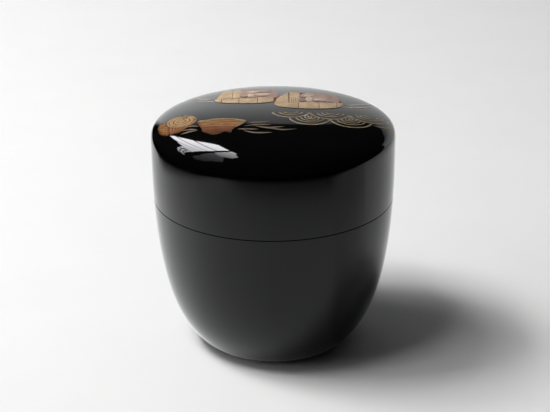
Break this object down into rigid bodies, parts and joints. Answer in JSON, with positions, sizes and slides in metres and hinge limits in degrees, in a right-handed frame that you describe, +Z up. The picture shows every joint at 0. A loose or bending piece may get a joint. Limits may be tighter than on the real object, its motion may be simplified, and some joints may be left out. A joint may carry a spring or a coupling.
{
  "type": "tea caddy",
  "caption": "Round lacquered wooden tea caddy with a flush lift-off lid, a narrow foot, a mirror-black finish and a gold relief of boats, waves and straw gear on the lid.",
  "frame": {"origin": "centre of the foot, on the surface that the caddy stands on", "axes": "+Z up along the turning axis, -Y towards the front, where the waves and the straw hat of the relief are nearest"},
  "size_m": [0.066, 0.066, 0.0656],
  "materials": {
    "turned_wood": "turned, sealed under lacquer",
    "polished_lacquer": "mirror-polished black urushi lacquer",
    "satin_lacquer": "unpolished black urushi lacquer",
    "gold_powder": "raised gold-powder relief",
    "red_gold_powder": "raised relief in gold powder over red lacquer",
    "pale_gold_powder": "thin lines of pale gold powder"
  },
  "bodies": {
    "body": {"body_wood_core": "turned_wood", "body_outer_lacquer": "polished_lacquer", "body_inner_lacquer": "satin_lacquer", "base_lacquer": "satin_lacquer"},
    "lid": {"lid_wood_core": "turned_wood", "lid_outer_lacquer": "polished_lacquer", "lid_inner_lacquer": "satin_lacquer", "straw_hat": "gold_powder", "straw_raincoat": "red_gold_powder", "near_boat_hull": "gold_powder", "near_boat_load": "red_gold_powder", "far_boat_hull": "gold_powder", "far_boat_load": "red_gold_powder", "straw_blade_1": "pale_gold_powder", "straw_blade_2": "pale_gold_powder", "straw_blade_3": "pale_gold_powder", "straw_blade_4": "pale_gold_powder", "straw_blade_5": "pale_gold_powder", "straw_blade_6": "pale_gold_powder", "wave_1": "pale_gold_powder", "wave_2": "pale_gold_powder", "wave_3": "pale_gold_powder", "wave_4": "pale_gold_powder", "wave_5": "pale_gold_powder", "wave_6": "pale_gold_powder", "water_line_1": "pale_gold_powder", "water_line_2": "pale_gold_powder", "water_line_3": "pale_gold_powder", "water_line_4": "pale_gold_powder"}
  },
  "joints": [
    {"name": "lid_lift", "type": "slide", "parent": "body", "child": "lid", "axis": [0, 0, 1], "range_m": [0, 0.05]}
  ]
}
